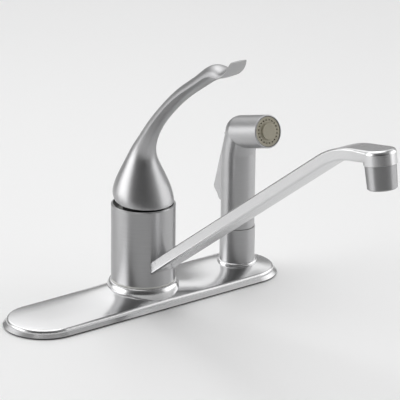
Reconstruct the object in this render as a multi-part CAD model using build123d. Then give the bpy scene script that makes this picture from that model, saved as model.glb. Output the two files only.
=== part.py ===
"""Side spray kitchen faucet: deck plate, single lever mixing valve, swinging spout and hand spray.

Millimetres. The origin is on the spout's swing axis at the deck, +Z is up, the basin is
towards -Y, and the hand spray stands at +X, one standard hole spacing away.
"""
import os
from math import acos, atan2, cos, degrees, exp, hypot, radians, sin, sqrt, tan

from build123d import *

BOTTOM = (Align.CENTER, Align.CENTER, Align.MIN)

# ---------------------------------------------------------------- driving sizes
running_fit = 0.05          # radial clearance of what turns or slides
seat_gap = 0.15             # axial play between a turning piece and its seat
shank_play = 0.5            # radial room of the valve's shank in the plate's hole
cut_over = 1.0              # how far a cutting shape runs past what it cuts

# deck plate
hole_spacing = 101.6        # standard four inch centres
plate_half_width = 34.4
plate_edge_height = 6.2
plate_edge_inset = 2.9      # the rolled edge stands inside the sloping foot
plate_edge_roll = 2.4
plate_foot_height = 3.5
plate_wall = 2.4
ridge_height = 7.9
crown_power = 3.0
gasket_thickness = 1.0
gasket_inset = 0.8
gasket_rib_width = 3.0
collar_radius = 30.2
collar_top_radius = 27.2
collar_height = 17.2
collar_round_height = 6.5
collar_swell = 7.0          # rise of the crown's ridge at the valve
collar_swell_reach = 33.0
collar_swell_blend = 11.0
spray_collar_radius = 17.0
spray_collar_height = 12.6
spray_collar_swell = 3.2
spray_collar_reach = 20.0
spray_collar_blend = 7.0
deck_thickness = 12.0       # the sink's ledge, between the plate and the nuts

# valve body
shank_radius = 15.5
shank_length = 50.0
barrel_radius = 22.0
barrel_length = 56.8
spigot_radius = 15.3
spigot_length = 12.0
cartridge_depth = 4.0       # the cartridge's floor, below the barrel's top
water_port_radius = 2.6
water_port_x = 6.0
water_port_y = 3.2
outlet_port_y = -6.4
spray_channel_y = -9.6
spray_channel_radius = 2.0
thread_pitch = 2.0
thread_depth = 0.7

# diverter, in a hole at the barrel's front
diverter_height = 42.0
diverter_radius = 4.6
diverter_depth = 19.0
cage_wall = 1.2
spool_room = 3.0
spool_stem_radius = 1.6
spool_land = 2.0
spool_spring_wire = 0.6
spool_spring_turns = 3

# spout sleeve and its seals
sleeve_radius = 27.0
sleeve_wall = 4.0
sleeve_overlap = 10.5       # the sleeve's top, above the barrel's
sleeve_rim_wall = 1.6
sleeve_bevel = 1.0
glide_flange = 1.4
glide_skirt = 3.4
glide_inset = 0.4
glide_cap = 2.0
o_ring_section = 1.4
o_ring_play = 0.2
o_ring_low = 8.8            # above the collar
o_ring_high = 12.0          # below the barrel's top

# spout arm
spout_width = 23.0
spout_thickness = 9.8
spout_corner = 1.8
spout_bore_corner = 0.8
spout_wall = 1.6
spout_rise = 35.9           # degrees above the deck
spout_root_height = 37.4    # centre line where it leaves the sleeve
spout_bend_radius = 85.0
nose_reach = 288.1          # centre line's crossing with the nose axis
nose_height = 203.8
nose_rise = 9.5             # degrees above the deck
nose_radius = 13.0
nose_round = 3.2            # of its top edge
nose_hull = 19.0
nose_flare_inset = 0.05
nose_skirt = 1.7            # below the arm's underside
nose_wall = 1.9
nose_ledge = 3.0            # seat of the aerator's washer

# aerator, measured down the nose axis from the skirt's edge
aerator_radius = 12.2
aerator_tip_radius = 11.6
aerator_length = 19.0
aerator_bevel = 1.0
aerator_wall = 1.9
aerator_neck = 4.6
aerator_gap = 0.3
aerator_washer_thickness = 1.2
insert_setback = 2.0
insert_length = 6.0
insert_jet_radius = 0.9
insert_jet_circle = 7.0
insert_jet_count = 12
screen_thickness = 0.6
screen_setback = 2.2
screen_hole_radius = 0.8
screen_hole_pitch = 2.6
screen_hole_rings = 3

# cartridge
housing_radius = 13.4
housing_wall = 1.4
housing_floor = 2.6
housing_rise = 4.0          # its shoulder, above the spigot
housing_neck_radius = 11.2
housing_neck = 5.0
seal_width = 1.5
seal_overhang = 0.6
fixed_disc_thickness = 3.4
moving_disc_thickness = 3.4
moving_disc_radius = 8.0
moving_disc_pocket = 4.0
moving_disc_offset = 1.9    # the closed disc sits this far behind the axis
disc_film = 0.02
driver_thickness = 3.2
driver_floor = 0.4
driver_play = 0.4
rotor_radius = 9.4
rotor_length = 10.8
rotor_slot_front = 7.5
rotor_slot_back = 5.1
rotor_slot_play = 0.4
nut_radius = 17.3
nut_lip = 2.0
nut_play = 0.3
nut_notch_depth = 1.6
nut_notch_width = 4.0
nut_notch_count = 6

# lever pivot
pivot_rise = 2.0            # above the housing's shoulder
pivot_pin_radius = 1.5
stem_radius = 3.4
stem_foot_radius = 2.0
stem_foot_gap = 1.2
stem_foot_step = 1.0
stem_square = 6.6
stem_square_rise = 6.6
stem_square_length = 12.4

# lever handle
rim_gap = 2.8               # over the sleeve's top, at the axis
rim_tilt = 2.8              # degrees, higher at the back
cavity_radius = 20.3
cavity_depth = 27.5         # below the pivot
socket_radius = 6.6
socket_step = 0.6           # above the square's shoulder
screw_rise = 13.0           # above the pivot
screw_radius = 2.4
screw_length = 8.0
screw_socket_radius = 1.2
screw_socket_depth = 3.0
plug_radius = 3.3
plug_length = 6.0

# spray holder
holder_radius = 15.1
holder_height = 29.8        # above its collar
holder_cup_radius = 13.15
holder_cup_depth = 22.4
holder_shank_radius = 12.5
holder_shank_length = 44.0
holder_shank_play = 0.25
holder_bore_radius = 10.6

# hand spray, with its heights above the holder's top
spray_radius = 14.5
spray_seam = 0.3
spray_tail_length = 20.4
spray_way_radius = 3.4
spray_way_y = -6.0
elbow_y = -4.0
elbow_rise = 84.7
elbow_lean = 18.5           # below its centre, where the handle starts to lean into it
elbow_radius = 14.1
elbow_sink = 0.15           # the leaning stretch ends inside the elbow's ball
head_tilt = 15.0            # degrees above the horizontal
head_length = 35.8
head_radius = 14.1
head_edge_roll = 0.7
head_way_radius = 8.0
head_way_start = 6.0
face_recess = 3.5
face_radius = 12.6
face_thickness = 3.0
face_hub_radius = 6.9
face_hub_height = 1.8
face_hub_sink = 1.0
face_hub_roll = 0.5
face_hole_radius = 0.75
face_hole_circle = 9.8
face_hole_count = 20
face_bezel_width = 0.5
face_bezel_setback = 0.3

# trigger, hinged behind the elbow; heights are below its pivot
trigger_width = 16.0
trigger_skin = 2.2
trigger_side_gap = 0.35
trigger_back_gap = 0.2
trigger_pivot_y = 4.4
trigger_pivot_drop = 1.5    # below the elbow's centre
trigger_pin_radius = 1.5
trigger_pin_bite = 3.0      # of each end in the body
trigger_eye_radius = 4.3
trigger_top_y = 7.2
trigger_top_rise = 3.6
trigger_nub_y = 22.8
trigger_nub_drop = 51.4
trigger_nub_curve = ((0.6, -1.6), (0.1, -0.4), (0.0, 0.6), (0.5, 2.0), (1.9, 4.0), (4.6, 6.4),
                     (6.6, 10.0))       # inwards from the nub, and down from it
trigger_end_y = 14.9
trigger_end_drop = 62.6
trigger_end_width = 3.4
trigger_inner_y = 9.7
trigger_root_y = 4.6
trigger_root_drop = 6.0
trigger_web_y = 7.8         # the web's inner face, at its top
trigger_web_drop = 7.0
pocket_floor_y = 2.6
pocket_below_end = 1.8

# spray valve
plunger_drop = 29.0         # below the trigger's pivot
plunger_radius = 2.0
plunger_tip_gap = 0.3
plunger_disc_radius = 4.0
plunger_disc_thickness = 2.0
plunger_disc_y = -4.0
plunger_disc_gap = 1.4
plunger_chamber_radius = 4.6
plunger_chamber_end_y = -12.2
plunger_spring_radius = 3.4
plunger_spring_wire = 0.7
plunger_spring_turns = 4
spring_end_gap = 0.05

# hose coupling
coupling_radius = 9.4
coupling_stem_radius = 6.0
coupling_stem_length = 11.0
coupling_body_length = 18.05
coupling_bore = 3.2
coupling_socket_radius = 5.2
coupling_socket_depth = 9.0
coupling_washer_thickness = 1.8
coupling_washer_inset = 0.6
clip_rise = 7.3
clip_thickness = 1.0
clip_groove_depth = 0.8
clip_chamber_radius = 8.4
clip_play = 0.6
clip_mouth = 5.0

# below the deck
washer_overhang = 9.0
clamp_washer = 2.0
nut_height = 9.0
nut_wall = 6.0
wing_length = 11.0
wing_thickness = 3.0
wing_height = 7.2
stud_radius = 3.0
stud_length = 46.0
stud_boss_radius = 7.0
supply_tube_radius = 4.76
supply_tube_wall = 0.8
supply_tube_x = 18.0        # of each lower end, where its coupling goes
supply_tube_lead = 3.0      # straight, below the shank
supply_tube_bend = 16.0
supply_tube_length = 34.0   # straight lower end
supply_socket_depth = 9.0
nipple_radius = 4.8
nipple_thread_radius = 4.4
nipple_length = 12.0
nipple_hex = 5.0

# ---------------------------------------------------------------- sizes that follow
edge_half_width = plate_half_width - plate_edge_inset
foot_lean = degrees(atan2(plate_edge_inset, plate_foot_height - gasket_thickness))
shank_hole_radius = shank_radius + shank_play
holder_hole_radius = holder_shank_radius + holder_shank_play
stud_top = ridge_height - plate_wall
supply_seat = supply_socket_depth - shank_length

barrel_top = collar_height + barrel_length
spigot_top = barrel_top + spigot_length
sleeve_bore = sleeve_radius - sleeve_wall
sleeve_mouth = sleeve_radius - sleeve_rim_wall
sleeve_bottom = collar_height + glide_flange + seat_gap
sleeve_top = barrel_top + sleeve_overlap
glide_top = barrel_top + glide_cap
o_ring_heights = (collar_height + o_ring_low, barrel_top - o_ring_high)
groove_radius = sleeve_bore - running_fit - 2 * o_ring_section
cage_end_y = diverter_depth - barrel_radius
spool_end_y = cage_end_y - cage_wall - spool_room
spool_start_y = cage_wall - barrel_radius

cartridge_floor = barrel_top - cartridge_depth
housing_shoulder = spigot_top + housing_rise
housing_top = housing_shoulder + housing_neck
rotor_bottom = housing_top - rotor_length
nut_top = housing_shoulder + nut_lip
water_ports = ((-water_port_x, water_port_y), (water_port_x, water_port_y), (0.0, outlet_port_y))
seal_radius = water_port_radius + seal_width - seal_overhang
disc_chamber_radius = housing_radius - housing_wall
fixed_disc_bottom = cartridge_floor + housing_floor
moving_disc_bottom = fixed_disc_bottom + fixed_disc_thickness + disc_film
driver_bottom = moving_disc_bottom + moving_disc_thickness
stem_foot_bottom = driver_bottom + stem_foot_gap

pivot_height = housing_shoulder + pivot_rise
pin_half_length = sqrt(rotor_radius ** 2 - pivot_pin_radius ** 2) - running_fit
stem_square_bottom = pivot_height + stem_square_rise
stem_top = stem_square_bottom + stem_square_length
socket_bottom = stem_square_bottom + socket_step
rim_height = sleeve_top + rim_gap
screw_height = pivot_height + screw_rise
screw_start = stem_square / 2
plug_start = screw_start + screw_length + plug_length

neck_radius = nose_radius - nose_wall
aerator_top = -spout_thickness / 2 - nose_skirt - aerator_gap
neck_top = aerator_top + aerator_gap + aerator_neck
aerator_bore = aerator_tip_radius - aerator_wall

holder_top = spray_collar_height + holder_height
holder_cup_floor = holder_top - holder_cup_depth
spray_tail_radius = holder_cup_radius - running_fit
spray_tail_bottom = holder_top - spray_tail_length
spray_seam_height = holder_top + spray_seam
elbow_height = holder_top + elbow_rise

trigger_pivot_height = elbow_height - trigger_pivot_drop
trigger_nub_height = trigger_pivot_height - trigger_nub_drop
trigger_end_height = trigger_pivot_height - trigger_end_drop
pocket_bottom = trigger_end_height - pocket_below_end
plunger_height = trigger_pivot_height - plunger_drop
plunger_spring_start = plunger_chamber_end_y + plunger_spring_wire / 2 + spring_end_gap

coupling_shoulder = spray_tail_bottom - coupling_washer_thickness - seat_gap
coupling_bottom = coupling_shoulder - coupling_body_length
coupling_stem_top = spray_tail_bottom + coupling_stem_length
clip_bottom = spray_tail_bottom + clip_rise
clip_inner_radius = coupling_stem_radius - clip_groove_depth
clip_outer_radius = clip_chamber_radius - clip_play


# ---------------------------------------------------------------- shared shapes
def disc(radius, low, high, x=0.0, y=0.0):
    """Upright cylinder between two heights."""
    return Pos(x, y, low) * Cylinder(radius, high - low, align=BOTTOM)


def ring(outer, inner, low, high, x=0.0, y=0.0):
    """Upright tube between two heights."""
    return disc(outer, low, high, x, y) - disc(inner, low - cut_over, high + cut_over, x, y)


def lathe(*points):
    """Solid of revolution about Z from (radius, height) points."""
    outline = make_face(Plane.XZ * Polyline(*points, close=True))
    return revolve(outline, Axis.Z)


def rod_along(start, end, radius):
    """Cylinder between two points in space."""
    start, end = Vector(*start), Vector(*end)
    along = end - start
    return Plane(origin=start, z_dir=along) * Cylinder(radius, along.length, align=BOTTOM)


def threaded(radius, low, high):
    """Rod whose ring grooves stand for a screw thread, plain at both ends."""
    points = [(0, low), (radius, low)]
    count = int((high - low) / thread_pitch)
    for turn in range(count):
        foot = low + turn * thread_pitch
        points += [(radius, foot + thread_pitch / 5),
                   (radius - thread_depth, foot + thread_pitch / 2),
                   (radius, foot + 4 * thread_pitch / 5)]
    points += [(radius, high), (0, high)]
    return lathe(*points)


def hexagon(flat_radius, low, high, x=0.0, y=0.0):
    """Upright hexagonal prism, sized across half its flats."""
    outline = RegularPolygon(flat_radius, 6, major_radius=False)
    return Pos(x, y, low) * extrude(outline, high - low)


def slot_prism(half_width, low, high, lean=0.0):
    """Round-ended outline of the deck plate, between two heights; its wall can lean inwards."""
    outline = SlotCenterToCenter(2 * hole_spacing, 2 * half_width)
    return Pos(0, 0, low) * extrude(outline, high - low, taper=lean)


# ---------------------------------------------------------------- deck plate
def crown_height(x, y):
    """Height of the plate's top: a crown that swells into the two collars."""
    ridge = ridge_height
    swells = ((0.0, collar_swell, collar_swell_reach, collar_swell_blend),
              (hole_spacing, spray_collar_swell, spray_collar_reach, spray_collar_blend))
    for centre, swell, reach, blend in swells:
        ridge += swell / (1 + exp((abs(x - centre) - reach) / blend))
    past_end = max(abs(x) - hole_spacing, 0)
    across = hypot(past_end, y) / edge_half_width
    return plate_edge_height + (ridge - plate_edge_height) * (1 - across ** crown_power)


def under_crown(half_width, drop):
    """The plate's outline, filled from the gasket up to the crown lowered by drop."""
    margin = plate_wall + cut_over
    steps_x, steps_y = 72, 14
    span_x, span_y = hole_spacing + plate_half_width + margin, plate_half_width + margin
    grid = []
    for i in range(steps_x + 1):
        x = span_x * (2 * i / steps_x - 1)
        row = []
        for j in range(steps_y + 1):
            y = span_y * (2 * j / steps_y - 1)
            row.append(Vector(x, y, crown_height(x, y) - drop))
        grid.append(row)
    skin = Face.make_surface_from_array_of_points(grid)
    column = Solid.extrude(skin, Vector(0, 0, -2 * collar_height))
    return slot_prism(half_width, gasket_thickness, 2 * collar_height) & column


def make_escutcheon():
    """Cast plate: crowned shell on a sloping foot, two collars, and a boss for the stud."""
    plate = under_crown(edge_half_width, 0)
    rim = [edge for edge in plate.edges()
           if edge.bounding_box().min.Z > plate_edge_height - plate_edge_roll]
    plate = fillet(rim, plate_edge_roll)
    plate += slot_prism(plate_half_width, gasket_thickness, plate_edge_height - plate_edge_roll,
                        foot_lean)
    shell = plate - under_crown(edge_half_width - plate_wall, plate_wall)

    shoulder = collar_height - collar_round_height
    body_collar = revolve(Plane.XZ * make_face([
        Line((0, gasket_thickness), (collar_radius, gasket_thickness)),
        Line((collar_radius, gasket_thickness), (collar_radius, shoulder)),
        EllipticalCenterArc((collar_top_radius, shoulder), collar_radius - collar_top_radius,
                            collar_round_height, start_angle=0, arc_size=90),
        Line((collar_top_radius, collar_height), (0, collar_height)),
        Line((0, collar_height), (0, gasket_thickness)),
    ]), Axis.Z)
    hollow = ring(collar_top_radius, shank_hole_radius + plate_wall,
                  0, collar_height - plate_wall)
    bead = spray_collar_radius - holder_radius
    spray_collar = revolve(Plane.XZ * make_face([
        Line((0, gasket_thickness), (spray_collar_radius, gasket_thickness)),
        Line((spray_collar_radius, gasket_thickness),
             (spray_collar_radius, spray_collar_height - bead)),
        CenterArc((holder_radius, spray_collar_height - bead), bead, 0, 90),
        Line((holder_radius, spray_collar_height), (0, spray_collar_height)),
        Line((0, spray_collar_height), (0, gasket_thickness)),
    ]), Axis.Z)
    stud_boss = disc(stud_boss_radius, gasket_thickness, stud_top + plate_wall / 2)

    plate = shell + body_collar + Pos(hole_spacing, 0, 0) * spray_collar
    plate += Pos(-hole_spacing, 0, 0) * stud_boss
    plate -= hollow
    plate -= disc(shank_hole_radius, 0, 2 * collar_height)
    plate -= disc(holder_hole_radius, 0, 2 * collar_height, hole_spacing)
    plate -= disc(stud_radius, 0, stud_top, -hole_spacing)
    return plate


def make_deck_gasket():
    """Soft strip that seals the plate's rim to the sink."""
    outer = slot_prism(plate_half_width - gasket_inset, 0, gasket_thickness)
    return outer - slot_prism(plate_half_width - gasket_inset - gasket_rib_width,
                              -cut_over, gasket_thickness + cut_over)


# ---------------------------------------------------------------- valve body
def make_valve_body():
    """Brass casting: threaded shank, sealed barrel, spigot for the cartridge nut."""
    body = threaded(shank_radius, -shank_length, -deck_thickness)
    body += disc(shank_radius, -deck_thickness, collar_height)
    body += disc(barrel_radius, collar_height, barrel_top)
    body += disc(spigot_radius, barrel_top, spigot_top)
    for height in o_ring_heights:
        body -= ring(barrel_radius + cut_over, groove_radius,
                     height - o_ring_section - o_ring_play, height + o_ring_section + o_ring_play)
    body -= disc(housing_radius + running_fit, cartridge_floor, spigot_top + cut_over)
    for side in (-1, 1):
        body -= disc(water_port_radius, -shank_length, cartridge_floor + cut_over,
                     side * water_port_x, water_port_y)
        body -= disc(supply_tube_radius, -shank_length - cut_over, supply_seat,
                     side * water_port_x, water_port_y)
    body -= disc(water_port_radius, diverter_height, cartridge_floor + cut_over,
                 0, outlet_port_y)
    body -= rod_along((0, -barrel_radius - cut_over, diverter_height),
                      (0, cage_end_y, diverter_height), diverter_radius)
    body -= disc(spray_channel_radius, -shank_length - cut_over, diverter_height,
                 0, spray_channel_y)
    return body


def supply_tube(side):
    """Copper tube, hot or cold, that bends away from the other one below the shank."""
    turn = acos(1 - (supply_tube_x - water_port_x) / (2 * supply_tube_bend))
    fall = supply_tube_bend * sin(turn)
    half_x = side * (water_port_x + supply_tube_x) / 2
    start_x, end_x = side * water_port_x, side * supply_tube_x
    bend_top = -shank_length - supply_tube_lead
    middle, bend_low = bend_top - fall, bend_top - 2 * fall
    path = Line((start_x, water_port_y, supply_seat), (start_x, water_port_y, bend_top))
    path += TangentArc((start_x, water_port_y, bend_top), (half_x, water_port_y, middle),
                       tangent=(0, 0, -1))
    path += TangentArc((end_x, water_port_y, bend_low), (half_x, water_port_y, middle),
                       tangent=(0, 0, 1))
    path += Line((end_x, water_port_y, bend_low),
                 (end_x, water_port_y, bend_low - supply_tube_length))
    section = Pos(start_x, water_port_y, supply_seat) * (
        Circle(supply_tube_radius) - Circle(supply_tube_radius - supply_tube_wall))
    return sweep(section, path=path)


def make_supply_tubes():
    """Two plain copper tubes, brazed into the shank."""
    return Compound(children=[supply_tube(-1), supply_tube(1)])


def make_spray_outlet_nipple():
    """Outlet for the spray's hose, a threaded nipple under the shank."""
    low = -shank_length - nipple_hex - nipple_length
    body = hexagon(nipple_radius, -shank_length - nipple_hex, -shank_length, 0, spray_channel_y)
    body += disc(nipple_thread_radius, low, -shank_length - nipple_hex, 0, spray_channel_y)
    return body - disc(spray_channel_radius, low - cut_over, 0, 0, spray_channel_y)


def make_clamp_washer(shank, x=0.0):
    """Broad washer under the deck, round a shank."""
    return ring(shank + washer_overhang, shank + running_fit, -deck_thickness - clamp_washer,
                -deck_thickness, x)


def make_clamp_nut(shank, x=0.0):
    """Hexagonal nut that draws a shank down against its washer."""
    top = -deck_thickness - clamp_washer
    nut = hexagon(shank + nut_wall, top - nut_height, top, x)
    return nut - disc(shank + running_fit, top - nut_height - cut_over, top + cut_over, x)


def make_plate_stud():
    """Long screw that pulls the plate's free end down."""
    stud = threaded(stud_radius, stud_top - stud_length, stud_top)
    return Pos(-hole_spacing, 0, 0) * stud


def make_wing_nut():
    """Moulded nut with two wings, on a broad washer face."""
    top = -deck_thickness - clamp_washer
    nut = disc(stud_radius + nut_wall, top - nut_height, top)
    wing_span = 2 * (stud_radius + nut_wall + wing_length)
    nut += Pos(0, 0, top - nut_height) * Box(wing_span, wing_thickness, wing_height, align=BOTTOM)
    nut -= disc(stud_radius + running_fit, top - nut_height - cut_over, top + cut_over)
    return Pos(-hole_spacing, 0, 0) * nut


def make_o_rings():
    """Two rings that keep the water between them, under the spout's sleeve."""
    radius = sleeve_bore - running_fit - o_ring_section
    rings = [Pos(0, 0, height) * Torus(radius, o_ring_section) for height in o_ring_heights]
    return Compound(children=rings)


def make_lower_glide():
    """Slippery washer with a short skirt, which the sleeve rides on."""
    flange_top = collar_height + glide_flange
    flange = ring(sleeve_radius - glide_inset, barrel_radius, collar_height, flange_top)
    skirt = ring(sleeve_bore - running_fit, barrel_radius, flange_top, flange_top + glide_skirt)
    return flange + skirt


def make_upper_glide():
    """Slippery ring on the barrel's top, which centres the sleeve and keeps it down."""
    return ring(sleeve_mouth - running_fit, spigot_radius, barrel_top, glide_top)


def make_diverter_cage():
    """Moulded guide of the diverter, pressed into the barrel behind the spout."""
    cage = rod_along((0, -barrel_radius, diverter_height), (0, cage_end_y, diverter_height),
                     diverter_radius)
    cage -= rod_along((0, -barrel_radius - cut_over, diverter_height),
                      (0, cage_end_y - cage_wall, diverter_height), diverter_radius - cage_wall)
    for port_y in (outlet_port_y, spray_channel_y):
        cage -= disc(spray_channel_radius, diverter_height - diverter_radius - cut_over,
                     diverter_height + diverter_radius + cut_over, 0, port_y)
    return cage


def make_diverter_spool():
    """Poppet that sends the water to the spray when its hose pressure drops."""
    stem = rod_along((0, spool_start_y, diverter_height), (0, spool_end_y, diverter_height),
                     spool_stem_radius)
    for y in (spool_start_y, spool_end_y - spool_land):
        stem += rod_along((0, y, diverter_height), (0, y + spool_land, diverter_height),
                          diverter_radius - cage_wall - running_fit)
    return stem


# ---------------------------------------------------------------- springs
def coil(radius, wire, start, length, turns):
    """Round wire wound along Y, one unbroken helix; start and length are of its centre line."""
    path = Helix(pitch=length / turns, height=length, radius=radius)
    section = Plane(origin=path @ 0, z_dir=path % 0) * Circle(wire / 2)
    wound = sweep(section, path=path, is_frenet=True)
    return Plane(origin=start, z_dir=(0, 1, 0)) * wound


def make_diverter_spring():
    """Pushes the spool outwards, from the blind end of its cage."""
    margin = spool_spring_wire / 2 + spring_end_gap
    return coil(diverter_radius - cage_wall - spool_spring_wire, spool_spring_wire,
                (0, spool_end_y + margin, diverter_height), spool_room - 2 * margin,
                spool_spring_turns)


def make_plunger_spring():
    """Closes the spray's valve and returns its trigger."""
    length = plunger_disc_y - plunger_spring_start - plunger_spring_wire / 2 - spring_end_gap
    return spray_spot * coil(plunger_spring_radius, plunger_spring_wire,
                             (0, plunger_spring_start, plunger_height), length,
                             plunger_spring_turns)


# ---------------------------------------------------------------- cartridge
def make_cartridge_housing():
    """Moulded case: chamber for the discs below, bore for the rotor above."""
    case = lathe((0, cartridge_floor), (housing_radius, cartridge_floor),
                 (housing_radius, housing_shoulder), (housing_neck_radius, housing_shoulder),
                 (housing_neck_radius, housing_top), (0, housing_top))
    case -= disc(rotor_radius + running_fit, fixed_disc_bottom, housing_top + cut_over)
    case -= disc(disc_chamber_radius, fixed_disc_bottom, rotor_bottom)
    for x, y in water_ports:
        case -= disc(seal_radius, cartridge_floor - cut_over, fixed_disc_bottom + cut_over, x, y)
    return case


def make_inlet_seals():
    """Three rubber rings between the valve body and the fixed disc."""
    seals = [ring(seal_radius, water_port_radius - seal_overhang, cartridge_floor,
                  fixed_disc_bottom, x, y) for x, y in water_ports]
    return Compound(children=seals)


def make_fixed_disc():
    """Ceramic disc with two inlets and one outlet."""
    plate = disc(disc_chamber_radius - running_fit, fixed_disc_bottom,
                 fixed_disc_bottom + fixed_disc_thickness)
    for x, y in water_ports:
        plate -= disc(water_port_radius - seal_overhang, fixed_disc_bottom - cut_over,
                      moving_disc_bottom, x, y)
    return plate


def make_moving_disc():
    """Ceramic disc with a blind pocket that joins the ports when it is drawn forward."""
    plate = disc(moving_disc_radius, moving_disc_bottom, driver_bottom, 0, moving_disc_offset)
    pocket = disc(moving_disc_pocket, moving_disc_bottom - cut_over,
                  moving_disc_bottom + moving_disc_thickness / 2, 0, moving_disc_offset)
    return plate - pocket


def make_disc_driver():
    """Moulded cap on the moving disc, with the hole that the lever stem's foot works in."""
    cap = disc(moving_disc_radius, driver_bottom, driver_bottom + driver_thickness,
               0, moving_disc_offset)
    return cap - disc(stem_foot_radius + driver_play, driver_bottom + driver_floor,
                      driver_bottom + driver_thickness + cut_over)


def make_stem_rotor():
    """Turns with the lever and carries its pivot pin."""
    rotor = disc(rotor_radius, rotor_bottom, housing_top)
    slot = Pos(0, (rotor_slot_back - rotor_slot_front) / 2, rotor_bottom - cut_over) * Box(
        2 * (stem_radius + rotor_slot_play), rotor_slot_front + rotor_slot_back,
        rotor_length + 2 * cut_over, align=BOTTOM)
    rotor -= slot
    return rotor - pivot_rod(pivot_pin_radius)


def pivot_rod(radius):
    """Cylinder across the rotor, on the lever's pivot."""
    return rod_along((-pin_half_length, 0, pivot_height), (pin_half_length, 0, pivot_height), radius)


def make_stem_pin():
    """Plain pin that the lever rocks on."""
    return pivot_rod(pivot_pin_radius)


def make_lever_stem():
    """Steel stem: foot in the disc driver, pin hole at the pivot, square in the lever."""
    foot_top = rotor_bottom + stem_foot_step
    stem = disc(stem_foot_radius, stem_foot_bottom, foot_top)
    stem += disc(stem_radius, foot_top, stem_square_bottom)
    stem += Pos(0, 0, stem_square_bottom) * Box(
        stem_square, stem_square, stem_top - stem_square_bottom, align=BOTTOM)
    return stem - pivot_rod(pivot_pin_radius + running_fit)


def make_bonnet_nut():
    """Brass ring nut that holds the cartridge down."""
    nut = disc(nut_radius, glide_top, nut_top)
    nut -= disc(spigot_radius + running_fit, glide_top - cut_over, spigot_top + nut_play)
    nut -= disc(housing_radius + nut_play, spigot_top, housing_shoulder)
    nut -= disc(housing_neck_radius + nut_play, housing_shoulder - cut_over, nut_top + cut_over)
    for side in range(nut_notch_count):
        notch = Rot(0, 0, 360 * side / nut_notch_count) * Pos(
            nut_radius, 0, nut_top - nut_notch_depth) * Box(
            nut_notch_depth, nut_notch_width, nut_notch_width, align=BOTTOM)
        nut -= notch
    return nut


# ---------------------------------------------------------------- lever handle
# One row per section, at its widest line: distance forward of the axis, height above the
# pivot, lean from the vertical in degrees, half of its width, depth to its outer side, depth
# to its under side. The bulb is round; the lever's under side is flatter, with sharp edges.
handle_sections = (
    (1.4, -10.0, 0, 23.8, 23.8, 23.8),
    (0.2, -2.5, 0, 25.0, 25.0, 25.0),
    (-1.4, 2.5, 0, 24.8, 24.8, 24.8),
    (-2.1, 8.0, 0, 23.3, 23.3, 23.3),
    (-2.5, 15.0, 0, 20.5, 20.5, 20.5),
    (-2.6, 22.0, 0, 17.2, 17.2, 17.2),
    (-1.8, 29.5, 6, 13.7, 13.7, 13.7),
    (0.1, 36.9, 15, 11.0, 11.2, 10.6),
    (4.6, 45.7, 27, 9.0, 9.2, 7.5),
    (13.8, 59.4, 36, 7.8, 7.9, 4.8),
    (33.0, 81.6, 45, 7.6, 6.7, 4.2),
    (54.7, 100.5, 52, 8.0, 6.9, 4.0),
    (77.1, 115.9, 59, 8.6, 7.4, 3.8),
    (99.6, 127.2, 61, 9.3, 9.0, 2.5),
    (106.6, 127.9, 53, 9.7, 8.6, 0.8),
    (112.2, 131.0, 40, 9.8, 5.4, 0.5),
    (116.5, 135.3, 28, 9.6, 3.4, 0.4),
    (119.0, 139.2, 20, 9.2, 2.3, 0.3),
    (121.0, 143.6, 16, 8.2, 1.4, 0.2),
)


def handle_blank():
    """Bulb and lever as one smooth skin over its sections."""
    sections = []
    for forward, rise, lean, half_width, outer, under in handle_sections:
        along = (0, -sin(radians(lean)), cos(radians(lean)))
        spot = Plane(origin=(0, -forward, pivot_height + rise), x_dir=(1, 0, 0), z_dir=along)
        left, right = (-half_width, 0), (half_width, 0)
        outline = EllipticalCenterArc((0, 0), half_width, outer, start_angle=0, arc_size=180)
        outline += ThreePointArc(left, (0, -under), right)
        sections.append(spot * make_face(outline))
    return loft(sections)


def make_handle(blank):
    """Hollow under the bulb, with a square socket for the stem and a screw at the back."""
    slab = Pos(0, 0, -2 * sleeve_radius) * Box(
        4 * sleeve_radius, 4 * sleeve_radius, 4 * sleeve_radius)
    rim = Plane(origin=(0, 0, rim_height), x_dir=(1, 0, 0),
                z_dir=(0, -sin(radians(rim_tilt)), cos(radians(rim_tilt))))
    handle = blank - rim * slab
    cavity = Pos(0, 0, pivot_height) * Sphere(cavity_radius)
    cavity += disc(cavity_radius, pivot_height - cavity_depth, pivot_height)
    cavity -= disc(socket_radius, socket_bottom, pivot_height + cavity_radius + cut_over)
    handle -= cavity
    handle -= Pos(0, 0, socket_bottom - cut_over) * Box(
        stem_square, stem_square, stem_top - socket_bottom + cut_over, align=BOTTOM)
    handle -= rod_along((0, 0, screw_height), (0, sleeve_radius, screw_height), screw_radius)
    return handle - plug_rod()


def plug_rod():
    """Cylinder from the screw's head out through the bulb's back."""
    return rod_along((0, plug_start, screw_height), (0, plug_start + sleeve_radius, screw_height),
                     plug_radius)


def make_handle_screw():
    """Headless socket screw that grips the stem's square."""
    end = screw_start + screw_length
    screw = rod_along((0, screw_start, screw_height), (0, end, screw_height), screw_radius)
    socket = Pos(0, end, screw_height) * Rot(90, 0, 0) * extrude(
        RegularPolygon(screw_socket_radius, 6), screw_socket_depth, both=True)
    return screw - socket


def make_screw_plug(blank):
    """Moulded plug that hides the screw, flush with the bulb's back."""
    return plug_rod() & blank


# ---------------------------------------------------------------- spout
def side_point(forward, height):
    """Point on the spout's middle plane."""
    return Vector(0, -forward, height)


rise = radians(spout_rise)
tip_rise = radians(nose_rise)
root_line = spout_root_height - sleeve_radius * tan(rise)
nose_line = nose_height - nose_reach * tan(tip_rise)
bend_forward = (nose_line - root_line) / (tan(rise) - tan(tip_rise))
bend_height = root_line + bend_forward * tan(rise)
bend_tangent = spout_bend_radius * tan((rise - tip_rise) / 2)


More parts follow.
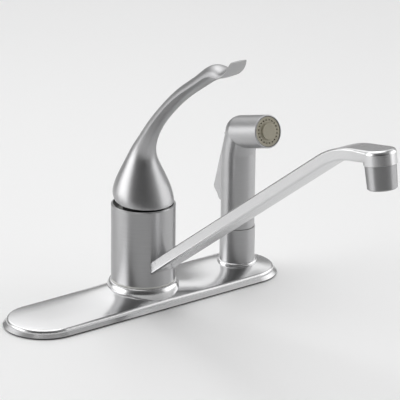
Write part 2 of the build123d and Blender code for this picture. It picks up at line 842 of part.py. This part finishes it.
def spout_path(start_forward, end_back):
    """Centre line: up the slope, round the bend, and out towards the nose."""
    start = side_point(start_forward, root_line + start_forward * tan(rise))
    bend_start = side_point(bend_forward - bend_tangent * cos(rise),
                            bend_height - bend_tangent * sin(rise))
    bend_end = side_point(bend_forward + bend_tangent * cos(tip_rise),
                          bend_height + bend_tangent * sin(tip_rise))
    mid_turn = (rise + tip_rise) / 2
    to_middle = spout_bend_radius * (1 / cos((rise - tip_rise) / 2) - 1)
    middle = side_point(bend_forward + to_middle * sin(mid_turn),
                        bend_height - to_middle * cos(mid_turn))
    end = side_point(nose_reach - end_back * cos(tip_rise),
                     nose_height - end_back * sin(tip_rise))
    return Line(start, bend_start) + ThreePointArc(bend_start, middle, bend_end) \
        + Line(bend_end, end)


def spout_bar(width, thickness, corner, start_forward, end_back):
    """Rounded rectangular bar along the spout's centre line."""
    path = spout_path(start_forward, end_back)
    along = (0, -cos(rise), sin(rise))
    spot = Plane(origin=path @ 0, x_dir=(1, 0, 0), z_dir=along)
    return sweep(spot * RectangleRounded(width, thickness, corner), path=path)


# The nose's own frame: origin on the centre line, +Z up the nose axis, +Y back along the arm.
nose = Plane(origin=side_point(nose_reach, nose_height), x_dir=(1, 0, 0),
             z_dir=(0, sin(tip_rise), cos(tip_rise)))


def nose_section(width, corner, back):
    """Rounded section of the arm, some way back from the nose's axis."""
    spot = Plane(origin=(0, back, 0), x_dir=(1, 0, 0), z_dir=(0, -1, 0))
    return spot * RectangleRounded(width, spout_thickness, corner)


def make_nose():
    """Flare that widens into a round drum, with a softer rounding on its top edge."""
    half = spout_thickness / 2
    flare = loft([nose_section(spout_width, spout_corner, nose_hull),
                  nose_section(2 * (nose_radius - nose_flare_inset), nose_round, 0)])
    drum = disc(nose_radius, -half - nose_skirt, half)
    rim = drum.edges().filter_by(GeomType.CIRCLE).sort_by(Axis.Z)[-1]
    return nose * (flare + fillet(rim, nose_round))


def spout_waterway(start_forward, end_back):
    """Bore of the arm between two places on its centre line."""
    return spout_bar(spout_width - 2 * spout_wall, spout_thickness - 2 * spout_wall,
                     spout_bore_corner, start_forward, end_back)


def make_spout_arm():
    """Flat arm that ends in a round nose, open underneath for the aerator."""
    half = spout_thickness / 2
    start = sleeve_radius - 2 * sleeve_wall
    arm = spout_bar(spout_width, spout_thickness, spout_corner, start, nose_hull)
    arm -= disc(sleeve_radius, 0, 2 * sleeve_top)
    arm += make_nose()
    arm -= spout_waterway(start, 0)
    low = -half - nose_skirt - cut_over
    arm -= nose * disc(neck_radius - nose_ledge, low, half - spout_wall)
    return arm - nose * disc(neck_radius, low, neck_top + aerator_washer_thickness)


def make_spout_sleeve():
    """Turned sleeve round the valve body, with the waterway's mouth at the front."""
    sleeve = lathe((sleeve_bore, sleeve_bottom), (sleeve_radius, sleeve_bottom),
                   (sleeve_radius, sleeve_top - sleeve_bevel),
                   (sleeve_radius - sleeve_bevel, sleeve_top), (sleeve_mouth, sleeve_top),
                   (sleeve_mouth, barrel_top - seat_gap), (sleeve_bore, barrel_top - seat_gap))
    mouth = spout_waterway(sleeve_bore - 2 * sleeve_wall, nose_hull)
    return sleeve - (mouth & disc(sleeve_radius + cut_over, sleeve_bottom, sleeve_top))


def make_aerator_housing():
    """Tapered barrel with a threaded neck in the nose."""
    top, low = aerator_top, aerator_top - aerator_length
    shell = lathe((0, top), (aerator_radius, top), (aerator_tip_radius, low + aerator_bevel),
                  (aerator_tip_radius - aerator_bevel, low), (0, low))
    shell += disc(neck_radius, top, neck_top)
    return nose * (shell - disc(aerator_bore, low - cut_over, neck_top + cut_over))


def make_aerator_washer():
    """Rubber ring on the ledge above the aerator's neck."""
    return nose * ring(neck_radius, aerator_bore, neck_top, neck_top + aerator_washer_thickness)


def make_aerator_insert():
    """Moulded flow former with a ring of jets."""
    top = aerator_top - insert_setback
    core = disc(aerator_bore, top - insert_length, top)
    for turn in range(insert_jet_count):
        spot = Rot(0, 0, 360 * turn / insert_jet_count) * Pos(insert_jet_circle, 0, 0)
        core -= spot * disc(insert_jet_radius, top - insert_length - cut_over, top + cut_over)
    return nose * core


def make_aerator_screen():
    """Perforated outlet screen."""
    low = aerator_top - aerator_length + screen_setback
    screen = disc(aerator_bore, low, low + screen_thickness)
    for circle in range(1, screen_hole_rings + 1):
        for turn in range(6 * circle):
            spot = Rot(0, 0, 60 * turn / circle) * Pos(screen_hole_pitch * circle, 0, 0)
            screen -= spot * disc(screen_hole_radius, low - cut_over, low + 2 * cut_over)
    return nose * screen


# ---------------------------------------------------------------- spray holder
def make_spray_holder():
    """Cup that the hand spray stands in, with a threaded shank through the deck."""
    holder = threaded(holder_shank_radius, -holder_shank_length, -deck_thickness)
    holder += disc(holder_shank_radius, -deck_thickness, spray_collar_height)
    holder += disc(holder_radius, spray_collar_height, holder_top)
    holder -= disc(holder_bore_radius, -holder_shank_length - cut_over, holder_top)
    holder -= disc(holder_cup_radius, holder_cup_floor, holder_top + cut_over)
    return Pos(hole_spacing, 0, 0) * holder


# ---------------------------------------------------------------- hand spray
# The spray's own frame stands on the holder's axis; the head's points out along its nozzle.
spray_spot = Pos(hole_spacing, 0, 0)
tilt = radians(head_tilt)
head = Plane(origin=(0, elbow_y, elbow_height), x_dir=(1, 0, 0), z_dir=(0, -cos(tilt), sin(tilt)))


def make_spray_body():
    """Moulded body: tail in the holder, handle, elbow and head in one piece."""
    body = disc(spray_tail_radius, spray_tail_bottom, spray_seam_height)
    body += disc(spray_radius, spray_seam_height, elbow_height - elbow_lean)
    body += loft([Pos(0, 0, elbow_height - elbow_lean) * Circle(spray_radius),
                  Pos(0, elbow_y, elbow_height) * Circle(elbow_radius - elbow_sink)])
    body -= room_behind_trigger()
    body += Pos(0, elbow_y, elbow_height) * Sphere(elbow_radius)
    barrel = head * disc(head_radius, 0, head_length)
    mouth = [edge for edge in barrel.edges().filter_by(GeomType.CIRCLE)
             if (edge.center() - head.origin).length > head_length - running_fit]
    body += fillet(mouth, head_edge_roll)
    body -= head * disc(face_radius + face_bezel_width, head_length - face_recess,
                        head_length + cut_over)
    body -= head * disc(head_way_radius, head_way_start, head_length)
    body -= disc(spray_way_radius, clip_bottom, elbow_height, 0, spray_way_y)
    body -= disc(coupling_stem_radius + running_fit, spray_tail_bottom - cut_over,
                 coupling_stem_top)
    body -= disc(clip_chamber_radius, clip_bottom - seat_gap, coupling_stem_top + clip_thickness)
    body -= trigger_pocket()
    body -= trigger_rod(trigger_width / 2 + trigger_pin_bite, trigger_pin_radius)
    body -= rod_along((0, pocket_floor_y + cut_over, plunger_height),
                      (0, plunger_chamber_end_y, plunger_height), plunger_chamber_radius)
    return spray_spot * body


# ---------------------------------------------------------------- trigger
def trigger_rod(half_length, radius):
    """Cylinder across the spray, on the trigger's pivot."""
    return rod_along((-half_length, trigger_pivot_y, trigger_pivot_height),
                     (half_length, trigger_pivot_y, trigger_pivot_height), radius)


def room_behind_trigger():
    """Wedge cut off the handle's back, which the trigger's outer face closes again."""
    top = trigger_pivot_height + trigger_top_rise
    slope = (trigger_nub_y - trigger_top_y) / (top - trigger_nub_height)
    rise = 2 * trigger_eye_radius
    outline = make_face(Plane.YZ * Polyline(
        (trigger_nub_y + trigger_back_gap, trigger_nub_height),
        (trigger_top_y + trigger_back_gap - slope * rise, top + rise),
        (2 * trigger_nub_y, top + rise), (2 * trigger_nub_y, trigger_nub_height), close=True))
    return extrude(outline, 2 * spray_radius, both=True)


def trigger_pocket():
    """Deep slot in the handle's back, round at the trigger's eye."""
    half = trigger_width / 2 + trigger_side_gap
    pocket = Pos(0, pocket_floor_y, pocket_bottom) * Box(
        2 * half, 2 * trigger_nub_y, trigger_pivot_height - pocket_bottom,
        align=(Align.CENTER, Align.MIN, Align.MIN))
    return pocket + trigger_rod(half, trigger_eye_radius + trigger_side_gap)


def make_trigger_pin():
    """Plain pin through the trigger's eye, pressed into the body."""
    return spray_spot * trigger_rod(trigger_width / 2 + trigger_pin_bite, trigger_pin_radius)


def make_spray_trigger():
    """Thumb lever on the spray's back, a channel that straddles the plunger."""
    nub = [(trigger_nub_y - inwards, trigger_nub_height - down)
           for inwards, down in trigger_nub_curve]
    outline = make_face(Plane.YZ * Polyline(
        (trigger_pivot_y, trigger_pivot_height + trigger_eye_radius),
        (trigger_top_y, trigger_pivot_height + trigger_top_rise),
        *nub,
        (trigger_end_y, trigger_end_height),
        (trigger_end_y - trigger_end_width, trigger_end_height),
        (trigger_inner_y, trigger_end_height + trigger_end_width),
        (trigger_root_y, trigger_pivot_height - trigger_root_drop),
        (trigger_pivot_y - trigger_eye_radius, trigger_pivot_height), close=True))
    lever = extrude(outline, trigger_width / 2, both=True)
    eye = trigger_rod(trigger_width, trigger_eye_radius)
    below_pivot = Box(2 * trigger_width, 4 * trigger_nub_y, 2 * trigger_pivot_height)
    lever &= eye + below_pivot
    lever -= trigger_rod(trigger_width, trigger_pin_radius + running_fit)
    return spray_spot * (lever - trigger_channel())


def trigger_channel():
    """Hollow between the trigger's cheeks, open towards the spray."""
    top = trigger_pivot_height - trigger_web_drop
    low = trigger_nub_height - 2 * trigger_skin
    outline = make_face(Plane.YZ * Polyline(
        (trigger_web_y, top), (trigger_nub_y - trigger_skin, trigger_nub_height),
        (trigger_nub_y - 2 * trigger_skin, low), (-trigger_nub_y, low), (-trigger_nub_y, top),
        close=True))
    return extrude(outline, trigger_width / 2 - trigger_skin, both=True)


def plunger_dome_y():
    """Where the plunger's domed end is centred, for its gap to the trigger's sloping web."""
    run = trigger_nub_y - trigger_skin - trigger_web_y
    drop = trigger_nub_drop - trigger_web_drop
    web_y = trigger_web_y + run * (plunger_drop - trigger_web_drop) / drop
    return web_y - (plunger_radius + plunger_tip_gap) * hypot(run, drop) / drop


# ---------------------------------------------------------------- nozzle
def make_nozzle_bezel():
    """Thin dark ring between the face and the head."""
    return spray_spot * head * ring(face_radius + face_bezel_width, face_radius,
                                    head_length - face_recess,
                                    head_length - face_bezel_setback)


def make_nozzle_face():
    """Spray face with its ring of jets."""
    low, top = head_length - face_recess, head_length - face_recess + face_thickness
    plate = disc(face_radius, low, top)
    plate -= disc(face_hub_radius, top - face_hub_sink, top + cut_over)
    for turn in range(face_hole_count):
        spot = Rot(0, 0, 360 * turn / face_hole_count) * Pos(face_hole_circle, 0, 0)
        plate -= spot * disc(face_hole_radius, low - cut_over, top + cut_over)
    return spray_spot * head * plate


def make_nozzle_hub():
    """Raised centre disc of the spray face, screwed in from the front."""
    low = head_length - face_recess + face_thickness - face_hub_sink
    hub = disc(face_hub_radius, low, low + face_hub_sink + face_hub_height)
    rim = hub.edges().filter_by(GeomType.CIRCLE).sort_by(Axis.Z)[-1]
    return spray_spot * head * fillet(rim, face_hub_roll)


# ---------------------------------------------------------------- spray valve
def make_plunger_gland():
    """Guide bush of the plunger, at the bottom of the trigger's pocket."""
    start = plunger_disc_y + plunger_disc_thickness + plunger_disc_gap
    gland = rod_along((0, start, plunger_height), (0, pocket_floor_y, plunger_height),
                      plunger_chamber_radius)
    bore = rod_along((0, start - cut_over, plunger_height),
                     (0, pocket_floor_y + cut_over, plunger_height), plunger_radius + running_fit)
    return spray_spot * (gland - bore)


def make_spray_plunger():
    """Valve plunger: domed stem to the trigger, disc in the chamber."""
    dome_y = plunger_dome_y()
    plunger = rod_along((0, plunger_disc_y, plunger_height), (0, dome_y, plunger_height),
                        plunger_radius)
    plunger += Pos(0, dome_y, plunger_height) * Sphere(plunger_radius)
    plunger += rod_along((0, plunger_disc_y, plunger_height),
                         (0, plunger_disc_y + plunger_disc_thickness, plunger_height),
                         plunger_disc_radius)
    return spray_spot * plunger


# ---------------------------------------------------------------- hose coupling
def make_hose_coupling():
    """Swivel end of the spray's hose: socket below, stem in the spray's tail."""
    coupling = disc(coupling_radius, coupling_bottom, coupling_shoulder)
    coupling += disc(coupling_stem_radius, coupling_shoulder, coupling_stem_top)
    coupling -= disc(coupling_bore, coupling_bottom, coupling_stem_top + cut_over)
    coupling -= disc(coupling_socket_radius, coupling_bottom - cut_over,
                     coupling_bottom + coupling_socket_depth)
    coupling -= ring(coupling_stem_radius + cut_over, clip_inner_radius, clip_bottom,
                     clip_bottom + clip_thickness)
    return spray_spot * coupling


def make_coupling_washer():
    """Seal between the coupling's shoulder and the spray's tail."""
    return spray_spot * ring(coupling_radius - coupling_washer_inset, coupling_stem_radius,
                             coupling_shoulder, coupling_shoulder + coupling_washer_thickness)


def make_coupling_clip():
    """Open ring in the stem's groove, which holds the spray on its hose."""
    clip = ring(clip_outer_radius, clip_inner_radius, clip_bottom, clip_bottom + clip_thickness)
    mouth = Pos(0, clip_outer_radius, clip_bottom - cut_over) * Box(
        clip_mouth, clip_outer_radius, clip_thickness + 2 * cut_over, align=BOTTOM)
    return spray_spot * (clip - mouth)


# ---------------------------------------------------------------- the parts
blank = handle_blank()

parts = {
    "escutcheon": make_escutcheon(),
    "deck_gasket": make_deck_gasket(),
    "valve_body": make_valve_body(),
    "supply_tubes": make_supply_tubes(),
    "spray_outlet_nipple": make_spray_outlet_nipple(),
    "shank_washer": make_clamp_washer(shank_radius),
    "shank_nut": make_clamp_nut(shank_radius),
    "plate_stud": make_plate_stud(),
    "plate_stud_washer": make_clamp_washer(stud_radius, -hole_spacing),
    "plate_wing_nut": make_wing_nut(),
    "spout_o_rings": make_o_rings(),
    "lower_glide_ring": make_lower_glide(),
    "upper_glide_ring": make_upper_glide(),
    "diverter_cage": make_diverter_cage(),
    "diverter_spool": make_diverter_spool(),
    "diverter_spring": make_diverter_spring(),
    "cartridge_housing": make_cartridge_housing(),
    "inlet_seals": make_inlet_seals(),
    "fixed_disc": make_fixed_disc(),
    "moving_disc": make_moving_disc(),
    "disc_driver": make_disc_driver(),
    "stem_rotor": make_stem_rotor(),
    "stem_pin": make_stem_pin(),
    "lever_stem": make_lever_stem(),
    "bonnet_nut": make_bonnet_nut(),
    "handle": make_handle(blank),
    "handle_screw": make_handle_screw(),
    "handle_screw_plug": make_screw_plug(blank),
    "spout_sleeve": make_spout_sleeve(),
    "spout_arm": make_spout_arm(),
    "aerator_housing": make_aerator_housing(),
    "aerator_washer": make_aerator_washer(),
    "aerator_insert": make_aerator_insert(),
    "aerator_screen": make_aerator_screen(),
    "spray_holder": make_spray_holder(),
    "spray_holder_washer": make_clamp_washer(holder_shank_radius, hole_spacing),
    "spray_holder_nut": make_clamp_nut(holder_shank_radius, hole_spacing),
    "spray_body": make_spray_body(),
    "spray_trigger": make_spray_trigger(),
    "trigger_pin": make_trigger_pin(),
    "nozzle_bezel": make_nozzle_bezel(),
    "nozzle_face": make_nozzle_face(),
    "nozzle_hub": make_nozzle_hub(),
    "plunger_gland": make_plunger_gland(),
    "spray_plunger": make_spray_plunger(),
    "plunger_spring": make_plunger_spring(),
    "hose_coupling": make_hose_coupling(),
    "coupling_washer": make_coupling_washer(),
    "coupling_clip": make_coupling_clip(),
}

os.makedirs("parts", exist_ok=True)
for name, shape in parts.items():
    export_step(shape, "parts/" + name + ".step")
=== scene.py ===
from math import cos, radians, sin

import bpy
from mathutils import Matrix, Vector

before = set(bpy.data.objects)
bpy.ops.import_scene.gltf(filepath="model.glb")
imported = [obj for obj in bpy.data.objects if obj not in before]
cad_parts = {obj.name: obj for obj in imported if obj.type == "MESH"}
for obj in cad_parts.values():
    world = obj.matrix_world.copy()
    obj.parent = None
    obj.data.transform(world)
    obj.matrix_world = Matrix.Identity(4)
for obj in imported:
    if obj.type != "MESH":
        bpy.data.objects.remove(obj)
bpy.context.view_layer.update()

# ---------------------------------------------------------------- camera
# The view of the photograph: a long lens to the left of the valve and a little above it,
# aimed so that the faucet lies in the square frame as it does there.
view_azimuth, view_elevation, view_roll = radians(-38.81), radians(19.52), radians(0.65)
camera_place = Vector((-1.41605, -1.83548, 0.90860))
lens_width = 36.0
lens_length = 266.6
nearest, farthest = 0.1, 20

back = Vector((sin(view_azimuth) * cos(view_elevation),
               -cos(view_azimuth) * cos(view_elevation), sin(view_elevation)))
level_right = Vector((cos(view_azimuth), sin(view_azimuth), 0))
level_up = back.cross(level_right)
right = cos(view_roll) * level_right + sin(view_roll) * level_up
up = cos(view_roll) * level_up - sin(view_roll) * level_right
camera_turn = Matrix((right, up, back)).transposed().to_4x4()
bpy.ops.object.select_all(action="DESELECT")
bpy.ops.object.camera_add()
camera = bpy.context.object
camera.matrix_world = Matrix.Translation(camera_place) @ camera_turn
camera.data.sensor_width = lens_width
camera.data.lens = lens_length
camera.data.clip_start, camera.data.clip_end = nearest, farthest
bpy.context.scene.camera = camera
bpy.context.scene.view_settings.view_transform = "Standard"

# ---------------------------------------------------------------- studio
# A round pale floor under a soft box, in a room that is bright to the left, to the right and
# behind, and dark round the camera, as brushed metal needs.
floor_radius = 2.0
floor_corners = 96
floor_drop = 0.0003
floor_colour = (0.88, 0.88, 0.88, 1)
floor_roughness = 0.5
floor_shine = 1.0
room_level = 0.30
room_colour = (1, 1, 1, 1)
box_place = (0.1, 0.25, 1.3)
box_side = 1.0
box_power = 5.6

bpy.ops.mesh.primitive_circle_add(vertices=floor_corners, radius=floor_radius,
                                  fill_type="NGON", location=(0, 0, -floor_drop))
floor = bpy.context.object
floor.name = "floor"
floor_look = bpy.data.materials.new("floor_paper")
floor_look.use_nodes = True
paper = floor_look.node_tree.nodes["Principled BSDF"]
paper.inputs["Base Color"].default_value = floor_colour
paper.inputs["Roughness"].default_value = floor_roughness
paper.inputs["Specular IOR Level"].default_value = floor_shine
floor.data.materials.append(floor_look)

room = bpy.data.worlds.new("studio_room")
room.use_nodes = True
bpy.context.scene.world = room
links, nodes = room.node_tree.links, room.node_tree.nodes
room_light = nodes["Background"]
way = nodes.new("ShaderNodeTexCoord")


def side_direction(from_camera, height):
    """Direction turned from the camera's side by one angle and raised by another."""
    turned = view_azimuth + radians(from_camera)
    rise = radians(height)
    return Vector((sin(turned) * cos(rise), -cos(turned) * cos(rise), sin(rise)))


def soft_area(direction, inner, outer, strength):
    """Light, or shade, from a round part of the room that fades between two angles."""
    facing = nodes.new("ShaderNodeVectorMath")
    facing.operation = "DOT_PRODUCT"
    facing.inputs[1].default_value = direction
    links.new(way.outputs["Generated"], facing.inputs[0])
    fade = nodes.new("ShaderNodeMapRange")
    fade.interpolation_type = "SMOOTHSTEP"
    fade.inputs["From Min"].default_value = cos(radians(outer))
    fade.inputs["From Max"].default_value = cos(radians(inner))
    fade.inputs["To Min"].default_value = 0
    fade.inputs["To Max"].default_value = strength
    links.new(facing.outputs["Value"], fade.inputs["Value"])
    return fade.outputs["Result"]


def combined(operation, first, second):
    """Sum or product of two strengths."""
    step = nodes.new("ShaderNodeMath")
    step.operation = operation
    links.new(first, step.inputs[0])
    links.new(second, step.inputs[1])
    return step.outputs[0]


above_horizon = soft_area(Vector((0, 0, 1)), inner=65, outer=79, strength=1)
behind = soft_area(side_direction(180, 24), inner=12, outer=38, strength=0.9)
left = soft_area(side_direction(-84, 12), inner=12, outer=36, strength=2.7)
high_left = soft_area(side_direction(-140, 48), inner=10, outer=32, strength=1.0)
far_right = soft_area(side_direction(108, 12), inner=18, outer=44, strength=1.6)
camera_shade = soft_area(side_direction(0, 6), inner=24, outer=60, strength=-0.22)
level = nodes.new("ShaderNodeMath")
level.operation = "ADD"
level.inputs[1].default_value = room_level
links.new(combined("MULTIPLY", above_horizon, behind), level.inputs[0])
total = level.outputs[0]
for area in (left, high_left, far_right, camera_shade):
    total = combined("ADD", total, area)
links.new(total, room_light.inputs["Strength"])
room_light.inputs["Color"].default_value = room_colour

bpy.ops.object.light_add(type="AREA", location=box_place)
key_light = bpy.context.object
key_light.data.shape = "RECTANGLE"
key_light.data.size = key_light.data.size_y = box_side
key_light.data.energy = box_power
key_light.rotation_euler = (-key_light.location).to_track_quat("-Z", "Y").to_euler()

# ---------------------------------------------------------------- deck plate
# Cast plate with a fine satin polish, glossier than the brushed pieces that stand on it, with
# the soft strip below its rim and the screw that holds its free end under the deck.
noise_low, noise_high = 0.3, 0.7      # where most of the noise lies
scratch_detail = 3.0
scratch_depth = 0.0001
cloud_fineness = 180.0
cloud_range = 0.92, 1.08
lengthwise = (1, 0, 0)


def satin_metal(name, colour, roughness, grain, fineness, across, pull, slope=0.0):
    """Satin metal. Its scratches run along the axis of least fineness, tilted about X by
    slope, and change its shade and gloss by grain. Its highlights are drawn out by pull,
    along the direction across."""
    look = bpy.data.materials.new(name)
    look.use_nodes = True
    links, nodes = look.node_tree.links, look.node_tree.nodes
    metal = nodes["Principled BSDF"]
    metal.inputs["Metallic"].default_value = 1.0
    metal.inputs["Anisotropic"].default_value = pull
    turned = nodes.new("ShaderNodeVectorTransform")
    turned.vector_type = "VECTOR"
    turned.convert_from, turned.convert_to = "OBJECT", "WORLD"
    turned.inputs[0].default_value = across
    links.new(turned.outputs[0], metal.inputs["Tangent"])
    place = nodes.new("ShaderNodeTexCoord")
    stretch = nodes.new("ShaderNodeMapping")
    stretch.vector_type = "TEXTURE"
    stretch.inputs["Rotation"].default_value = (slope, 0, 0)
    stretch.inputs["Scale"].default_value = tuple(1 / scale for scale in fineness)
    links.new(place.outputs["Object"], stretch.inputs["Vector"])
    scratches = nodes.new("ShaderNodeTexNoise")
    scratches.inputs["Scale"].default_value = 1.0
    scratches.inputs["Detail"].default_value = scratch_detail
    links.new(stretch.outputs[0], scratches.inputs["Vector"])
    shade = nodes.new("ShaderNodeMapRange")
    dull = nodes.new("ShaderNodeMapRange")
    for spread, middle in (shade, 1), (dull, roughness):
        spread.inputs["From Min"].default_value = noise_low
        spread.inputs["From Max"].default_value = noise_high
        spread.inputs["To Min"].default_value = middle - grain
        spread.inputs["To Max"].default_value = middle + grain
        links.new(scratches.outputs["Fac"], spread.inputs["Value"])
    tint = nodes.new("ShaderNodeVectorMath")
    tint.operation = "SCALE"
    tint.inputs[0].default_value = colour
    links.new(shade.outputs[0], tint.inputs["Scale"])
    links.new(tint.outputs[0], metal.inputs["Base Color"])
    links.new(dull.outputs[0], metal.inputs["Roughness"])
    ridge = nodes.new("ShaderNodeBump")
    ridge.inputs["Strength"].default_value = grain
    ridge.inputs["Distance"].default_value = scratch_depth
    links.new(scratches.outputs["Fac"], ridge.inputs["Height"])
    links.new(ridge.outputs[0], metal.inputs["Normal"])
    return look


def plain_look(name, colour, metallic, roughness):
    """Even finish with a faint cloudiness, for moulded, cast and machined pieces."""
    look = bpy.data.materials.new(name)
    look.use_nodes = True
    links, nodes = look.node_tree.links, look.node_tree.nodes
    body = nodes["Principled BSDF"]
    body.inputs["Metallic"].default_value = metallic
    body.inputs["Roughness"].default_value = roughness
    place = nodes.new("ShaderNodeTexCoord")
    cloud = nodes.new("ShaderNodeTexNoise")
    cloud.inputs["Scale"].default_value = cloud_fineness
    links.new(place.outputs["Object"], cloud.inputs["Vector"])
    shade = nodes.new("ShaderNodeMapRange")
    shade.inputs["To Min"].default_value, shade.inputs["To Max"].default_value = cloud_range
    links.new(cloud.outputs["Fac"], shade.inputs["Value"])
    tint = nodes.new("ShaderNodeVectorMath")
    tint.operation = "SCALE"
    tint.inputs[0].default_value = colour
    links.new(shade.outputs[0], tint.inputs["Scale"])
    links.new(tint.outputs[0], body.inputs["Base Color"])
    return look


def wear(look, *names):
    """Gives a finish to nodes of the frame."""
    for name in names:
        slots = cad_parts[name].data.materials
        slots.clear()
        slots.append(look)


# The plate's nickel is lightened as painted light, so that its rim shows brighter.
plate_lit_look = satin_metal("plate_nickel_painted_light", colour=(0.66, 0.66, 0.665), roughness=0.20, grain=0.01,
                         fineness=(900, 900, 900), across=lengthwise, pull=0.0)
rubber_look = plain_look("black_rubber", (0.035, 0.035, 0.035), metallic=0, roughness=0.6)
steel_look = plain_look("bright_steel", (0.58, 0.58, 0.59), metallic=1, roughness=0.25)
dark_look = plain_look("black_plastic", (0.045, 0.045, 0.045), metallic=0, roughness=0.4)
wear(plate_lit_look, "escutcheon")
wear(rubber_look, "deck_gasket")
wear(steel_look, "plate_stud", "plate_stud_washer")
wear(dark_look, "plate_wing_nut")

# ---------------------------------------------------------------- mixing valve
# Brass body with its copper tubes, nut and steel washer below the deck, and the moulded
# glides and rubber rings that the sleeve turns on.
brass_look = plain_look("machined_brass", (0.70, 0.52, 0.26), metallic=1, roughness=0.28)
copper_look = plain_look("drawn_copper", (0.72, 0.40, 0.27), metallic=1, roughness=0.3)
white_look = plain_look("white_plastic", (0.78, 0.78, 0.75), metallic=0, roughness=0.4)
wear(brass_look, "valve_body", "shank_nut", "spray_outlet_nipple")
wear(copper_look, "supply_tubes")
wear(steel_look, "shank_washer")
wear(white_look, "lower_glide_ring", "upper_glide_ring")
wear(rubber_look, "spout_o_rings")

# ---------------------------------------------------------------- diverter
# White moulded cage in the valve's front, around a grey spool with a steel spring that
# pushes it back.
grey_look = plain_look("grey_plastic", (0.32, 0.33, 0.34), metallic=0, roughness=0.4)
wear(white_look, "diverter_cage")
wear(grey_look, "diverter_spool")
wear(steel_look, "diverter_spring")

# ---------------------------------------------------------------- cartridge
# White case under a black nut, a pair of pale ceramic discs, grey driver and rotor, and the
# steel pin that the lever rocks on.
ceramic_look = plain_look("lapped_ceramic", (0.84, 0.82, 0.78), metallic=0, roughness=0.18)
wear(white_look, "cartridge_housing")
wear(dark_look, "bonnet_nut")
wear(rubber_look, "inlet_seals")
wear(ceramic_look, "fixed_disc", "moving_disc")
wear(grey_look, "disc_driver", "stem_rotor")
wear(steel_look, "stem_pin")

# ---------------------------------------------------------------- lever
# Satin bulb and lever in one casting, on a steel stem, with a black plug over the screw that
# holds it at the back.
upright = (0, 0, 1)
# The handle's nickel is darkened as painted shade.
handle_shaded_look = satin_metal("handle_nickel_painted_shade", colour=(0.43, 0.43, 0.435), roughness=0.38,
                          grain=0.03, fineness=(900, 900, 120), across=upright, pull=0.3)
wear(handle_shaded_look, "handle")
wear(steel_look, "lever_stem", "handle_screw")
wear(dark_look, "handle_screw_plug")

# ---------------------------------------------------------------- spout
# Turned sleeve with its scratches running round it, and an arm that is brushed lengthwise and
# ends in a round nose. The sleeve's nickel is darkened as painted shade, the arm's lightened as
# painted light.
arm_slope = radians(-36)
across_arm = (0, 0.59, 0.81)
# The sleeve's nickel is darkened as painted shade for the dark band down its middle.
sleeve_shaded_look = satin_metal("turned_nickel_painted_shade", colour=(0.40, 0.40, 0.405), roughness=0.32,
                          grain=0.04, fineness=(40, 40, 2500), across=upright, pull=0.75)
# The arm's nickel is lightened as painted light for the bright floor it reflects.
arm_lit_look = satin_metal("drawn_nickel_painted_light", colour=(0.66, 0.66, 0.665), roughness=0.26, grain=0.015,
                       fineness=(2500, 20, 2500), across=across_arm, pull=0.4,
                       slope=arm_slope)
wear(sleeve_shaded_look, "spout_sleeve")
wear(arm_lit_look, "spout_arm")

# ---------------------------------------------------------------- aerator
# Polished barrel in the nose, its nickel darkened as painted shade, with a rubber washer above
# it, a white flow former and a fine screen.
# The barrel's nickel is darkened as painted shade for the dark reflection in its middle.
aerator_shaded_look = satin_metal("polished_nickel_painted_shade", colour=(0.38, 0.38, 0.385), roughness=0.38,
                            grain=0.02, fineness=(300, 300, 1500), across=upright, pull=0.95)
wear(aerator_shaded_look, "aerator_housing")
wear(rubber_look, "aerator_washer")
wear(white_look, "aerator_insert")
wear(steel_look, "aerator_screen")

# ---------------------------------------------------------------- spray holder
# Turned cup on the plate, brushed as the spray is, and held by a brass nut with its black
# washer under the deck.
# The holder's and spray's nickel is darkened as painted shade.
spray_shaded_look = satin_metal("spray_nickel_painted_shade", colour=(0.44, 0.44, 0.445), roughness=0.34,
                         grain=0.04, fineness=(60, 60, 2000), across=upright, pull=0.6)
wear(spray_shaded_look, "spray_holder")
wear(dark_look, "spray_holder_washer")
wear(brass_look, "spray_holder_nut")

# ---------------------------------------------------------------- hand spray
# Satin plated body and trigger, with the valve's plunger, gland and spring behind the trigger
# and the hose's coupling in the tail.
wear(spray_shaded_look, "spray_body", "spray_trigger")
wear(steel_look, "trigger_pin", "plunger_spring", "coupling_clip")
wear(white_look, "plunger_gland")
wear(grey_look, "spray_plunger")
wear(brass_look, "hose_coupling")
wear(rubber_look, "coupling_washer")

# ---------------------------------------------------------------- nozzle
# Taupe spray face with a raised centre and a ring of jets, in a thin dark ring at the mouth
# of the head.
face_look = plain_look("taupe_plastic", (0.42, 0.39, 0.30), metallic=0, roughness=0.45)
wear(face_look, "nozzle_face", "nozzle_hub")
wear(dark_look, "nozzle_bezel")
